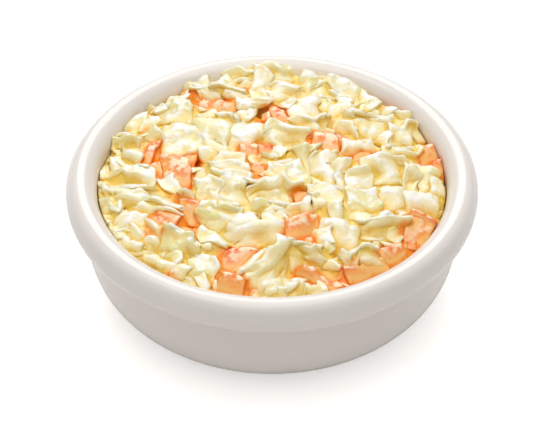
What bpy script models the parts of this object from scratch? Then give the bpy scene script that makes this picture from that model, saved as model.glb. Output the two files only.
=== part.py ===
"""Coleslaw heaped in its small glazed bowl.

Two solids: the bowl, turned from one profile, and the coleslaw, a domed core
that fills the bowl with the cabbage and carrot pieces of its surface fused on.
The origin is on the floor under the middle of the bowl, with +Z up and the
photographed side towards -Y.
"""
import math
import random

import bmesh
import bpy
import numpy as np
from mathutils import Matrix, Vector

MM = 0.001

# Bowl, in millimetres
RIM_Z = 32.4
RIM_OUTER_R = 55.0
RIM_CREST_R = 51.2
RIM_INNER_R = 46.6
RIM_HALF_HEIGHT = 4.7
BODY_R = 50.2
BODY_BEND_Z = 20.5
FOOT_R = 31.0
FOOT_RECESS_R = 27.0
FOOT_RECESS = 1.2
FOOT_EDGE = 0.7
WALL = 4.1
FLOOR_Z = 5.0
FLOOR_R = 25.0
BODY_ROUNDNESS = 2.2
RIM_TURN = 262.0
COVE = [(0.5, 0.4), (0.0, 1.3)]
HOLLOW_STEPS = 5
RIM_STEPS = 13
BODY_STEPS = 8
TURN_STEPS = 64
MERGE_DISTANCE = 0.00005

# Heap, in millimetres above the rim's middle plane
GAP = 0.35
HEAP_R = RIM_INNER_R - 0.6
EDGE_TOP = 2.2
DOME_RISE = 4.6
DOME_POWER = 3.0
FAR_RISE = 2.6
FAR_WIDTH = 24.0
CORE_DEPTH = 3.6
CORE_RINGS = 7
CORE_STEPS = 32

# Lumps of the core: their height, and two waves with their paces in radians a millimetre
LUMP = 0.5
LUMP_PACE = (0.31, 0.27)
LUMP_START = 1.0
SECOND_LUMP = 0.6
SECOND_PACE = (0.2, 0.53)

# Grid that records how high the heap stands while pieces are laid on it
CELL = 0.75
GRID_HALF = 48.0

# How a piece comes to rest: how far it leans with the slope below it, the share of the ground
# under it that it stands clear of, in percent, and how deep it sinks, as a share of its thickness
LEAN = 0.7
CLEARED = 78
SINK = 0.25

# Fillers that are laid before the pieces that show: sizes are length, width and thickness, least
# and most, and the margin to the heap's edge is a share of the length
SEED = 41
TRIES = 60
FILLER_CHIPS = 50
FILLER_CHIP_SIZES = [(8, 13), (6, 9), (1.6, 2.4)]
FILLER_CARROTS = 8
FILLER_CARROT_SIZES = [(5, 9), (3, 5), (2.0, 2.8)]
FILLER_ROLL = (-16, 22)
FILLER_PITCH = (-14, 14)
FILLER_MARGIN = 0.45

# Unevenness of a chopped cabbage piece, its cup and wave as shares of its width
CHIP_CORNERS = 5
CORNER_SWING = 14.0
CORNER_REACH = (0.86, 1.12)
CUP = (0.03, 0.10)
WAVE = 0.06

# Unevenness of a cut carrot piece
SKEW_LENGTH = (0.84, 1.06)
SKEW_WIDTH = (0.8, 1.06)

# Colours and roughnesses
GLAZE = ((0.88, 0.86, 0.83, 1.0), 0.18)
DRESSED_CABBAGE = ((0.90, 0.86, 0.62, 1.0), 0.35)

# Cabbage pieces that show: x, y, turn, length, width, thickness, roll, pitch
CABBAGE = [
    (-41, 13, 60, 10, 8, 1.6, 8, 0),
    (-25, 30, 10, 9, 6, 1.6, 10, 0),
    (-16.5, 18, 5, 11, 9, 2.8, 10, 0),
    (-26, 16, 20, 9, 8, 2.6, 8, 0),
    (-35, 21, 30, 8, 5, 1.6, 12, 0),
    (-14, -5, -8, 14, 9, 2.0, 12, 0),
    (0, -9, -4, 15, 10, 2.2, 16, 0),
    (-37, -8, -18, 18, 8, 1.8, 14, -6),
    (-39, 1, 8, 12, 6, 1.6, 6, -8),
    (-35, -16.5, 20, 13, 10, 2.6, 16, 0),
    (-14, -20, -30, 11, 9, 1.6, 30, 0),
    (-27, -27, 12, 13, 9, 1.8, 26, 0),
    (-26.5, -34.5, -25, 12, 8, 2.0, 16, 0),
    (-17.5, -36, 80, 10, 9, 1.6, 8, 0),
    (-36, -24, -60, 9, 7, 2.0, 12, 0),
    (-1, -34, 35, 17, 11, 1.6, 24, 10),
    (4, -37, -70, 12, 9, 1.6, 10, -20),
    (18, -23, -12, 13, 10, 3.0, 12, 0),
    (23, -31, 18, 12, 7, 2.2, 14, 0),
    (29, -18, 12, 14, 8, 2.0, 16, 0),
    (31.5, -9.5, 80, 8, 7, 2.8, 8, 0),
    (39.5, -9, -8, 11, 8, 2.4, 10, 0),
    (25, -11, 30, 10, 9, 1.6, 12, 0),
    (3, 42, -4, 13, 6, 1.8, 12, 0),
    (-8, 41.5, 8, 9, 6, 1.8, 12, 0),
    (8.5, 32, 6, 8, 6, 2.2, 10, 0),
    (-20, 40, 18, 9, 6, 1.8, 10, 0),
    (15, 38, -30, 9, 7, 1.8, 14, 0),
    (22, 35, -30, 9, 6, 1.8, 12, 0),
    (25, 21, -4, 13, 7, 2.0, 14, 0),
    (34.5, 8, -6, 12, 7, 2.4, 10, 0),
    (31, 1, -10, 14, 8, 2.0, 12, 0),
    (41, 15, -50, 8, 5, 1.8, 10, 0),
    (1, 17, 6, 12, 8, 1.8, 14, 0),
    (8, 12, 70, 8, 7, 1.6, 12, 0),
    (-6, -18.5, 12, 9, 6, 2.0, 16, 0),
    (-6, -25, 8, 12, 7, 2.2, 14, 0),
    (14, -14, -40, 11, 6, 1.6, 20, 0),
    (22, -3, 10, 12, 8, 1.8, 10, 0),
    (13, 3, -15, 11, 7, 1.8, 12, 0),
    (39, 0, -60, 9, 6, 2.0, 8, 0),
    (36, 25, -40, 10, 6, 1.8, 10, 0),
    (-12, 8, -20, 11, 7, 1.8, 12, 0),
    (9, -32, -30, 12, 7, 1.6, 18, 0),
]

# Carrot pieces that show, in the same order of values
CARROT = [
    (-22, 38, -8, 7, 2.5, 2.0, 10, 0),
    (-20.5, 33, 80, 6, 3, 2.4, 0, 0),
    (-14, 32.5, -4, 11, 6, 3.2, 22, 0),
    (-33.5, 26, 40, 5, 4, 2.6, 12, 0),
    (-33.5, 12, 66, 11, 3.4, 2.6, 10, 0),
    (-23, 5.5, 50, 6, 5, 2.8, 20, 0),
    (-26.5, 0, 84, 11, 8, 3.0, 0, -14),
    (-26, -8, 6, 6, 3, 2.2, 16, 0),
    (-4, 10, -14, 8, 4, 2.4, 18, 0),
    (-4, -1, 8, 6, 5, 2.4, 24, 0),
    (-7, 37, -30, 5, 3, 2.0, 10, 0),
    (2.5, 26.5, -34, 8, 4.5, 2.8, 16, 0),
    (-38, -3, 4, 6, 3, 2.0, 10, 0),
    (-21.5, -15, -60, 9, 6, 2.4, 10, 0),
    (-29.5, -20, 40, 13, 4.6, 2.8, 24, 0),
    (-18.5, -26, 70, 5, 4, 2.0, 20, 0),
    (-8, -33, 40, 8, 6, 2.6, 20, 0),
    (-10, -41, 6, 8, 6, 2.8, 14, 0),
    (-2, -44, 0, 7, 3, 2.0, 10, 0),
    (25, 32, -26, 9, 3, 2.2, 14, 0),
    (33, 29, -32, 9, 3.4, 2.4, 14, 0),
    (11, 16.5, 20, 4, 3, 2.0, 10, 0),
    (16, 13.5, 84, 9, 7, 3.6, 0, -12),
    (26, 14.5, 6, 8, 3, 2.0, 16, 0),
    (24, 6, 60, 6, 3, 2.0, 12, 0),
    (42, 10.5, -50, 6, 5, 2.6, 14, 0),
    (44.4, 5.5, -78, 9, 2.8, 2.4, 0, 0),
    (43, 17, -40, 6, 3.5, 2.4, 10, 0),
    (8.5, -13, -60, 8, 4, 2.4, 14, 0),
    (8, -22.5, 4, 10, 8, 4.4, 20, 0),
    (40, -17.5, -20, 9, 7, 2.8, 12, 0),
    (36, -26, 50, 7, 5, 2.8, 10, 0),
    (30, -29.5, 38, 10, 6, 2.8, 14, 0),
    (22.5, -36.5, 16, 13, 5.4, 2.8, 16, 0),
    (12.5, -39.5, -28, 14, 5, 2.6, 22, 0),
]


def body_outer_radius(z):
    """Radius of the bowl's outer wall between the foot and the rim."""
    if z >= BODY_BEND_Z:
        return BODY_R
    down = (BODY_BEND_Z - z) / BODY_BEND_Z
    across = (1.0 - down ** BODY_ROUNDNESS) ** (1.0 / BODY_ROUNDNESS)
    return FOOT_R + (BODY_R - FOOT_R) * across


def inner_radius(z):
    """Radius of the bowl's hollow between its floor and the rim's middle plane."""
    if z >= BODY_BEND_Z:
        up = (z - BODY_BEND_Z) / (RIM_Z - BODY_BEND_Z)
        return (BODY_R - WALL) + (RIM_INNER_R - BODY_R + WALL) * min(up, 1.0)
    down = (BODY_BEND_Z - z) / (BODY_BEND_Z - FLOOR_Z)
    across = max(0.0, 1.0 - down ** BODY_ROUNDNESS) ** (1.0 / BODY_ROUNDNESS)
    return FLOOR_R + (BODY_R - WALL - FLOOR_R) * across


def hollow_profile():
    """Points from the middle of the bowl's floor up to the rim's middle plane."""
    points = [(0.0, FLOOR_Z)]
    for step in range(HOLLOW_STEPS + 1):
        quarter = 0.5 * math.pi * step / HOLLOW_STEPS
        z = BODY_BEND_Z - (BODY_BEND_Z - FLOOR_Z) * math.cos(quarter) ** (2.0 / BODY_ROUNDNESS)
        points.append((inner_radius(z), z))
    return points


def rim_profile():
    """Points of the rolled rim, from its inner side over the crest to its underside."""
    points = []
    for step in range(RIM_STEPS + 1):
        angle = math.radians(180.0 - RIM_TURN * step / RIM_STEPS)
        reach = RIM_OUTER_R - RIM_CREST_R if math.cos(angle) > 0.0 else RIM_CREST_R - RIM_INNER_R
        r = RIM_CREST_R + reach * math.cos(angle)
        points.append((r, RIM_Z + RIM_HALF_HEIGHT * math.sin(angle)))
    return points


def outer_profile():
    """Points from the cove under the rim down the body to the middle of the foot."""
    points = [(BODY_R + out, RIM_Z - RIM_HALF_HEIGHT - down) for out, down in COVE]
    for step in range(BODY_STEPS):
        quarter = 0.5 * math.pi * step / BODY_STEPS
        z = BODY_BEND_Z * (1.0 - math.sin(quarter) ** (2.0 / BODY_ROUNDNESS))
        points.append((body_outer_radius(z), z))
    points.append((FOOT_R, FOOT_EDGE))
    points.append((FOOT_R - FOOT_EDGE, 0.0))
    points.append((FOOT_RECESS_R + FOOT_EDGE, 0.0))
    points.append((FOOT_RECESS_R, FOOT_RECESS))
    points.append((0.0, FOOT_RECESS))
    return points


def make_bowl():
    """Turn the whole profile about the bowl's axis."""
    profile = hollow_profile() + rim_profile() + outer_profile()
    mesh = bpy.data.meshes.new("bowl")
    bm = bmesh.new()
    verts = [bm.verts.new((r * MM, 0.0, z * MM)) for r, z in profile]
    for first, second in zip(verts, verts[1:]):
        bm.edges.new((first, second))
    bm.to_mesh(mesh)
    bm.free()
    bowl = bpy.data.objects.new("bowl", mesh)
    bpy.context.scene.collection.objects.link(bowl)
    screw = bowl.modifiers.new("turn", "SCREW")
    screw.axis = "Z"
    screw.steps = TURN_STEPS
    screw.render_steps = TURN_STEPS
    screw.use_merge_vertices = True
    screw.merge_threshold = MERGE_DISTANCE
    screw.use_smooth_shade = True
    return bowl


def dome_height(x, y):
    """Height that the tops of the heap's pieces reach, above the floor."""
    r = min(1.0, math.hypot(x, y) / HEAP_R)
    far = max(0.0, y / HEAP_R) ** 2 * math.exp(-(x / FAR_WIDTH) ** 2)
    return RIM_Z + EDGE_TOP + DOME_RISE * (1.0 - r ** DOME_POWER) + FAR_RISE * far


def core_height(x, y):
    """Height of the core under the pieces, with low uneven lumps."""
    first = math.sin(LUMP_PACE[0] * x + LUMP_START) * math.cos(LUMP_PACE[1] * y)
    second = SECOND_LUMP * math.sin(SECOND_PACE[1] * y - SECOND_PACE[0] * x)
    return dome_height(x, y) - CORE_DEPTH + LUMP * (first + second)


def ring_of_verts(bm, radius, height_at):
    """One ring of vertices, each at the height that its place gives."""
    ring = []
    for step in range(CORE_STEPS):
        angle = 2.0 * math.pi * step / CORE_STEPS
        x, y = radius * math.cos(angle), radius * math.sin(angle)
        ring.append(bm.verts.new((x * MM, y * MM, height_at(x, y) * MM)))
    return ring


def make_core():
    """The dressed mass that fills the bowl, up to a lumpy dome."""
    bm = bmesh.new()
    rings = []
    for r, z in hollow_profile()[1:]:
        rings.append(ring_of_verts(bm, r - GAP, lambda x, y, z=z: z + GAP))
    for step in range(CORE_RINGS):
        radius = HEAP_R * (1.0 - step / CORE_RINGS)
        rings.append(ring_of_verts(bm, radius, core_height))
    for lower, upper in zip(rings, rings[1:]):
        for step in range(CORE_STEPS):
            after = (step + 1) % CORE_STEPS
            bm.faces.new((lower[step], lower[after], upper[after], upper[step]))
    bm.faces.new(list(reversed(rings[0])))
    middle = bm.verts.new((0.0, 0.0, core_height(0.0, 0.0) * MM))
    for step in range(CORE_STEPS):
        bm.faces.new((rings[-1][step], rings[-1][(step + 1) % CORE_STEPS], middle))
    bmesh.ops.triangulate(bm, faces=bm.faces)
    mesh = bpy.data.meshes.new("coleslaw")
    bm.to_mesh(mesh)
    bm.free()
    core = bpy.data.objects.new("coleslaw", mesh)
    bpy.context.scene.collection.objects.link(core)
    return core


def chip_shape(length, width, thickness, rng):
    """A thin wavy cabbage piece with uneven corners, both faces split alike."""
    corners = []
    for corner in range(CHIP_CORNERS):
        angle = math.radians(360.0 * corner / CHIP_CORNERS + rng.uniform(-CORNER_SWING, CORNER_SWING))
        reach = rng.uniform(*CORNER_REACH)
        corners.append((0.5 * length * math.cos(angle) * reach, 0.5 * width * math.sin(angle) * reach))
    cup = rng.uniform(*CUP) * width
    wave = rng.uniform(-WAVE, WAVE) * width
    verts = []
    for side in (-0.5, 0.5):
        verts.append((0.0, 0.0, side * thickness + cup))
        for corner, (x, y) in enumerate(corners):
            verts.append((x, y, side * thickness - cup + wave * (-1.0) ** corner))
    faces = []
    above = CHIP_CORNERS + 1
    for corner in range(CHIP_CORNERS):
        low, low_after = 1 + corner, 1 + (corner + 1) % CHIP_CORNERS
        high, high_after = low + above, low_after + above
        faces.append((0, low_after, low))
        faces.append((above, high, high_after))
        faces.append((low, low_after, high_after))
        faces.append((low, high_after, high))
    return verts, faces


def stick_shape(length, width, thickness, rng):
    """A cut carrot piece: a block with its corners a little out of square."""
    verts = []
    for z in (-0.5, 0.5):
        for x, y in ((-0.5, -0.5), (0.5, -0.5), (0.5, 0.5), (-0.5, 0.5)):
            long_skew, wide_skew = rng.uniform(*SKEW_LENGTH), rng.uniform(*SKEW_WIDTH)
            verts.append((x * length * long_skew, y * width * wide_skew, z * thickness))
    quads = [(3, 2, 1, 0), (4, 5, 6, 7), (0, 1, 5, 4), (1, 2, 6, 5), (2, 3, 7, 6), (3, 0, 4, 7)]
    faces = []
    for a, b, c, d in quads:
        faces.append((a, b, c))
        faces.append((a, c, d))
    return verts, faces


class Heap:
    """The heap's top as a grid of heights, on which pieces come to rest."""

    def __init__(self):
        count = int(2 * GRID_HALF / CELL) + 1
        axis = np.linspace(-GRID_HALF, GRID_HALF, count)
        self.x, self.y = np.meshgrid(axis, axis, indexing="ij")
        self.inside = np.hypot(self.x, self.y) < HEAP_R
        core = np.vectorize(core_height)(self.x, self.y)
        self.dome = np.vectorize(dome_height)(self.x, self.y)
        self.top = np.where(self.inside, core, 0.0)

    def lowest_place(self, rng, margin):
        """The place furthest below the dome, of the ones tried."""
        best = None
        for _ in range(TRIES):
            r = (HEAP_R - margin) * math.sqrt(rng.random())
            angle = rng.uniform(0.0, 2.0 * math.pi)
            x, y = r * math.cos(angle), r * math.sin(angle)
            near = (self.x - x) ** 2 + (self.y - y) ** 2 < margin ** 2
            room = float(np.mean((self.dome - self.top)[near]))
            if best is None or room > best[0]:
                best = (room, x, y)
        return best[1:]

    def rest(self, verts, place, length, width, thickness):
        """Turn and lower a piece onto the heap, and note its top in the grid."""
        x, y, turn, roll, pitch = place
        along = (self.x - x) * math.cos(turn) + (self.y - y) * math.sin(turn)
        across = (self.y - y) * math.cos(turn) - (self.x - x) * math.sin(turn)
        under = (2.0 * along / length) ** 2 + (2.0 * across / width) ** 2 < 1.0
        under &= self.inside
        samples = np.column_stack([self.x[under] - x, self.y[under] - y, np.ones(under.sum())])
        slope_x, slope_y, _ = np.linalg.lstsq(samples, self.top[under], rcond=None)[0]
        lie = Vector((-LEAN * slope_x, -LEAN * slope_y, 1.0)).to_track_quat("Z", "Y").to_matrix()
        spin = Matrix.Rotation(turn - lie.to_euler().z, 3, "Z")
        pose = lie @ spin @ Matrix.Rotation(roll, 3, "X") @ Matrix.Rotation(pitch, 3, "Y")
        normal = pose @ Vector((0.0, 0.0, 1.0))
        plane = -(normal.x * samples[:, 0] + normal.y * samples[:, 1]) / normal.z
        half = 0.5 * thickness / normal.z
        lift = float(np.percentile(self.top[under] - plane + half, CLEARED)) - SINK * thickness
        self.top[under] = np.maximum(self.top[under], plane + lift + half)
        centre = Vector((x, y, lift))
        return [pose @ Vector(vert) + centre for vert in verts]


def keep_in_bowl(vert):
    """Draw a vertex in so that it clears the bowl's wall."""
    reach = math.hypot(vert.x, vert.y)
    if reach <= HEAP_R:
        return vert
    return Vector((vert.x * HEAP_R / reach, vert.y * HEAP_R / reach, vert.z))


def add_piece(name, verts, faces, pieces):
    """Make one small solid of the heap's surface."""
    mesh = bpy.data.meshes.new(name)
    mesh.from_pydata([keep_in_bowl(vert) * MM for vert in verts], [], faces)
    piece = bpy.data.objects.new(name, mesh)
    pieces.objects.link(piece)


def lay_piece(heap, kind, values, rng, pieces):
    """Shape a piece, rest it on the heap and add it."""
    x, y, turn, length, width, thickness, roll, pitch = values
    shape = stick_shape if kind == "carrot" else chip_shape
    verts, faces = shape(length, width, thickness, rng)
    place = (x, y, math.radians(turn), math.radians(roll), math.radians(pitch))
    verts = heap.rest(verts, place, length, width, thickness)
    add_piece(f"{kind}_{len(pieces.objects)}", verts, faces, pieces)


def lay_fillers(heap, kind, count, sizes, rng, pieces):
    """Lay pieces one by one where the heap is furthest below its dome."""
    for _ in range(count):
        length, width, thickness = (rng.uniform(*size) for size in sizes)
        x, y = heap.lowest_place(rng, FILLER_MARGIN * length)
        turn, roll, pitch = rng.uniform(0, 180), rng.uniform(*FILLER_ROLL), rng.uniform(*FILLER_PITCH)
        lay_piece(heap, kind, (x, y, turn, length, width, thickness, roll, pitch), rng, pieces)


def join_pieces(core, pieces):
    """One Boolean union of the core with every piece, applied."""
    union = core.modifiers.new("join", "BOOLEAN")
    union.operation = "UNION"
    union.operand_type = "COLLECTION"
    union.collection = pieces
    union.solver = "MANIFOLD"
    graph = bpy.context.evaluated_depsgraph_get()
    joined = bpy.data.meshes.new_from_object(core.evaluated_get(graph))
    core.modifiers.remove(union)
    core.data = joined
    for piece in list(pieces.objects):
        bpy.data.objects.remove(piece)
    bpy.data.collections.remove(pieces)


def shell_of(face, seen):
    """All faces joined to this one across edges."""
    stack, shell = [face], []
    seen.add(face)
    while stack:
        current = stack.pop()
        shell.append(current)
        for edge in current.edges:
            for neighbour in edge.link_faces:
                if neighbour not in seen:
                    seen.add(neighbour)
                    stack.append(neighbour)
    return shell


def keep_outer_shell(obj):
    """Fill sealed hollows and drop loose scraps by keeping the largest shell."""
    bm = bmesh.new()
    bm.from_mesh(obj.data)
    seen, shells = set(), []
    for face in bm.faces:
        if face not in seen:
            shells.append(shell_of(face, seen))
    shells.sort(key=len)
    for shell in shells[:-1]:
        bmesh.ops.delete(bm, geom=shell, context="FACES")
    bmesh.ops.triangulate(bm, faces=bm.faces)
    bm.to_mesh(obj.data)
    bm.free()


def make_coleslaw():
    """Core, buried fillers, then the pieces that show, joined as one solid."""
    core = make_core()
    pieces = bpy.data.collections.new("pieces")
    bpy.context.scene.collection.children.link(pieces)
    rng = random.Random(SEED)
    heap = Heap()
    lay_fillers(heap, "cabbage", FILLER_CHIPS, FILLER_CHIP_SIZES, rng, pieces)
    lay_fillers(heap, "carrot", FILLER_CARROTS, FILLER_CARROT_SIZES, rng, pieces)
    for values in CARROT:
        lay_piece(heap, "carrot", values, rng, pieces)
    for values in CABBAGE:
        lay_piece(heap, "cabbage", values, rng, pieces)
    join_pieces(core, pieces)
    keep_outer_shell(core)
    return core


def paint(obj, name, colour, roughness):
    """Give an object its own material."""
    material = bpy.data.materials.new(name)
    material.use_nodes = True
    shader = material.node_tree.nodes["Principled BSDF"]
    shader.inputs["Base Color"].default_value = colour
    shader.inputs["Roughness"].default_value = roughness
    shader.inputs["Metallic"].default_value = 0.0
    obj.data.materials.clear()
    obj.data.materials.append(material)


for old in list(bpy.data.objects):
    bpy.data.objects.remove(old)

paint(make_bowl(), "white_glaze", *GLAZE)
paint(make_coleslaw(), "dressed_cabbage", *DRESSED_CABBAGE)
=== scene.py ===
import math
import random

import bpy
import numpy as np
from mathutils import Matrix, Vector


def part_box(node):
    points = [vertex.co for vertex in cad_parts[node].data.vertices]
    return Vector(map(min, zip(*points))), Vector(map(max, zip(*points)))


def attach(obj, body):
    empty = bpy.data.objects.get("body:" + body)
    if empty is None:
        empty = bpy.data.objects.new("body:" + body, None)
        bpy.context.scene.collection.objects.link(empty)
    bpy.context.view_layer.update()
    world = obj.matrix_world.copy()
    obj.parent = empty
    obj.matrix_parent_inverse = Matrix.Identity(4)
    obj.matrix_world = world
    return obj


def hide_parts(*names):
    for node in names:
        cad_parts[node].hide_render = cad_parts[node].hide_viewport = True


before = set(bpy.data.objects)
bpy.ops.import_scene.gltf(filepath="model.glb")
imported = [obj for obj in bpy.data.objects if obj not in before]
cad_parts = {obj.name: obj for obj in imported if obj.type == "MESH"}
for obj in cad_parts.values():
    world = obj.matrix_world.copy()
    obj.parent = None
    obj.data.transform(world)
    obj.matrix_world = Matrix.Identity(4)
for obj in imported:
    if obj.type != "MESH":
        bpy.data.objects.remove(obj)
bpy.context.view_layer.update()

# The bowl
# One piece of slip-cast white stoneware, turned smooth and dipped in a clear gloss glaze.
# The rim is rolled thick, and only the ring that stands on the kiln shelf is bare clay.
MM = 0.001
RIM_Z = 32.4
RIM_OUTER_R = 1000.0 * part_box("bowl")[1][0]
RIM_CREST_R = 51.2
RIM_INNER_R = 46.6
RIM_HALF_HEIGHT = 1000.0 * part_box("bowl")[1][2] - RIM_Z
BODY_R = 50.2
BODY_BEND_Z = 20.5
BODY_ROUNDNESS = 2.2
WALL = 4.1
FOOT_R = 31.0
FOOT_RECESS_R = 27.0
FOOT_RECESS = 1.2
FOOT_EDGE = 0.7
FLOOR_Z = 5.0
FLOOR_R = 25.0
BOWL_SIDES = 192


def quarter_curve(from_r, from_z, to_r, to_z, steps):
    """A rounded quarter of the wall, from its upright end to its level end."""
    points = []
    for step in range(steps + 1):
        quarter = 0.5 * math.pi * step / steps
        across = math.cos(quarter) ** (2.0 / BODY_ROUNDNESS)
        down = math.sin(quarter) ** (2.0 / BODY_ROUNDNESS)
        points.append((to_r + (from_r - to_r) * across, from_z + (to_z - from_z) * down))
    return points


def bowl_profile():
    """Half section of the bowl, from the middle of its floor over the rim to the foot."""
    inside = quarter_curve(BODY_R - WALL, BODY_BEND_Z, FLOOR_R, FLOOR_Z, 18)
    points = [(0.0, FLOOR_Z)] + inside[::-1]
    for step in range(45):
        angle = math.radians(180.0 - 250.0 * step / 44)
        reach = RIM_OUTER_R - RIM_CREST_R if math.cos(angle) > 0.0 else RIM_CREST_R - RIM_INNER_R
        points.append((RIM_CREST_R + reach * math.cos(angle), RIM_Z + RIM_HALF_HEIGHT * math.sin(angle)))
    last_r, last_z = points[-1]
    for step in range(1, 7):
        along = step / 6
        points.append((BODY_R + (last_r - BODY_R) * (1.0 - along) ** 2, last_z - 2.6 * along ** 1.4))
    points += quarter_curve(BODY_R, BODY_BEND_Z, FOOT_R, FOOT_EDGE, 24)
    points += [(FOOT_R - 0.25, 0.2), (FOOT_R - FOOT_EDGE, 0.0), (FOOT_RECESS_R + FOOT_EDGE, 0.0)]
    points += [(FOOT_RECESS_R + 0.2, 0.25), (FOOT_RECESS_R, FOOT_RECESS), (0.0, FOOT_RECESS)]
    return points


def add_mesh(name, verts, faces, attributes=()):
    """Make a smooth-shaded mesh object from points in millimetres."""
    mesh = bpy.data.meshes.new(name)
    mesh.from_pydata((np.asarray(verts, dtype=float) * MM).tolist(), [], faces)
    mesh.shade_smooth()
    for label, kind, values in attributes:
        layer = mesh.attributes.new(label, kind, "POINT")
        field = "vector" if kind == "FLOAT_VECTOR" else "value"
        layer.data.foreach_set(field, np.asarray(values, dtype=float).ravel())
    piece = bpy.data.objects.new(name, mesh)
    bpy.context.scene.collection.objects.link(piece)
    return piece


def turned(profile, sides):
    """Points and faces of a half section turned about the bowl's axis, both its ends on the axis."""
    verts = [(0.0, 0.0, profile[0][1])]
    rings = []
    for r, z in profile[1:-1]:
        rings.append(len(verts))
        for side in range(sides):
            angle = math.tau * side / sides
            verts.append((r * math.cos(angle), r * math.sin(angle), z))
    verts.append((0.0, 0.0, profile[-1][1]))
    faces = []
    for side in range(sides):
        after = (side + 1) % sides
        faces.append((0, rings[0] + side, rings[0] + after))
        for low, high in zip(rings, rings[1:]):
            faces.append((low + side, high + side, high + after, low + after))
        faces.append((rings[-1] + side, len(verts) - 1, rings[-1] + after))
    return np.array(verts), faces


def new_material(name):
    """A material, its node tree and its Principled shader."""
    material = bpy.data.materials.new(name)
    material.use_nodes = True
    tree = material.node_tree
    return material, tree, tree.nodes["Principled BSDF"]


def add_node(tree, kind, links=(), **settings):
    """Add a shader node, set its fields and inputs, and link what feeds it."""
    node = tree.nodes.new(kind)
    for key, value in settings.items():
        if key in node.bl_rna.properties:
            setattr(node, key, value)
        else:
            node.inputs[key.replace("_", " ")].default_value = value
    for socket, source in links:
        tree.links.new(source, node.inputs[socket])
    return node


def spread(tree, source, from_min, from_max, to_min=0.0, to_max=1.0):
    """Map a value from one range to another, with soft ends."""
    node = add_node(tree, "ShaderNodeMapRange", [("Value", source)], interpolation_type="SMOOTHSTEP")
    for label, value in (("From Min", from_min), ("From Max", from_max), ("To Min", to_min), ("To Max", to_max)):
        node.inputs[label].default_value = value
    return node.outputs["Result"]


def mix_colour(tree, factor, first, second):
    """Mix two colours, each a colour or a node's output, by a node's output."""
    mix = add_node(tree, "ShaderNodeMix", [("Factor", factor)], data_type="RGBA")
    for socket, value in ((6, first), (7, second)):
        if isinstance(value, tuple):
            mix.inputs[socket].default_value = value + (1.0,)
        else:
            tree.links.new(value, mix.inputs[socket])
    return mix.outputs[2]


def glaze_material():
    """Clear gloss glaze over white clay, bare and dull on the ring that it stands on."""
    material, tree, shader = new_material("white_glaze")
    place = add_node(tree, "ShaderNodeNewGeometry").outputs["Position"]
    height = add_node(tree, "ShaderNodeSeparateXYZ", [("Vector", place)]).outputs["Z"]
    bare = spread(tree, height, 0.7 * MM, 0.4 * MM)
    cloud = add_node(tree, "ShaderNodeTexNoise", [("Vector", place)], Scale=60.0, Detail=3.0).outputs["Fac"]
    tint = mix_colour(tree, cloud, (0.78, 0.74, 0.705), (0.81, 0.77, 0.74))
    tree.links.new(mix_colour(tree, bare, tint, (0.62, 0.55, 0.45)), shader.inputs["Base Color"])
    tree.links.new(spread(tree, bare, 0.0, 1.0, 0.16, 0.75), shader.inputs["Roughness"])
    swell = add_node(tree, "ShaderNodeTexNoise", [("Vector", place)], Scale=45.0, Detail=1.0)
    bump = add_node(tree, "ShaderNodeBump", [("Height", swell.outputs["Fac"])], Strength=0.15, Distance=0.0006)
    tree.links.new(bump.outputs["Normal"], shader.inputs["Normal"])
    shader.inputs["IOR"].default_value = 1.5
    return material


bowl = add_mesh("glazed_bowl", *turned(bowl_profile(), BOWL_SIDES))
bowl.data.materials.append(glaze_material())
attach(bowl, "root")
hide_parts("bowl")

# The cabbage
# Leaf and rib chopped into four-sided pieces of about a centimetre, tossed in the dressing.
# Each is bent from a flat patch with cut edges and laid on the heap, the shown ones where they are seen.
HEAP_R = RIM_INNER_R - 0.5
EDGE_TOP = 2.2
DOME_RISE = 4.6
DOME_POWER = 3.0
FAR_RISE = 2.6
BED_DEPTH = 6.5
CELL = 0.5
GRID_HALF = 48.0
CUT_BAND = 0.8
SEED = 41
VEIN_RISE = 0.07
VEIN_WIDTH = 0.11
LOOKS = 12
LOOK_REACH = (0.8, 1.4, 2.2, 3.4, 5.0)
STEEPEST = 1.6
LEAF_FILLERS = 190
RIB_FILLERS = 80
EDGE_LEAVES = 64
EDGE_RIBS = 16
FAR_LEAVES = 18
FAR_TURN = (0.6, 2.54)
GAP_HEIGHT = -2.0
GAP_REACH = 1.5
TOP_DEPTH = 3.0
CRUMPLE_COUNT = 14
CRUMPLE_LENGTH = (3.2, 9.0)
CRUMPLE_DEPTH = 0.034
CAMERA_ABOVE = math.radians(39.5)
CAMERA_AWAY = 640.0
PIXELS_PER_MM = 3.745
RIM_CENTRE_PIXEL = (272.1, 185.5)
FRAME_PIXELS = (550.0, 440.0)
camera_right = np.array([1.0, 0.0, 0.0])
camera_back = np.array([0.0, -math.cos(CAMERA_ABOVE), math.sin(CAMERA_ABOVE)])
camera_up = np.array([0.0, math.sin(CAMERA_ABOVE), math.cos(CAMERA_ABOVE)])
rim_centre = np.array([0.0, 0.0, RIM_Z])
camera_place = rim_centre + camera_back * CAMERA_AWAY
camera_aim = rim_centre + camera_right * (0.5 * FRAME_PIXELS[0] - RIM_CENTRE_PIXEL[0]) / PIXELS_PER_MM
camera_aim += camera_up * (RIM_CENTRE_PIXEL[1] - 0.5 * FRAME_PIXELS[1]) / PIXELS_PER_MM


def dome_height(x, y):
    """Height that the tops of the heap's pieces reach."""
    r = np.minimum(1.0, np.hypot(x, y) / HEAP_R)
    far = np.maximum(0.0, y / HEAP_R) ** 2 * np.exp(-(x / 24.0) ** 2)
    return RIM_Z + EDGE_TOP + DOME_RISE * (1.0 - r ** DOME_POWER) + FAR_RISE * far


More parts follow.
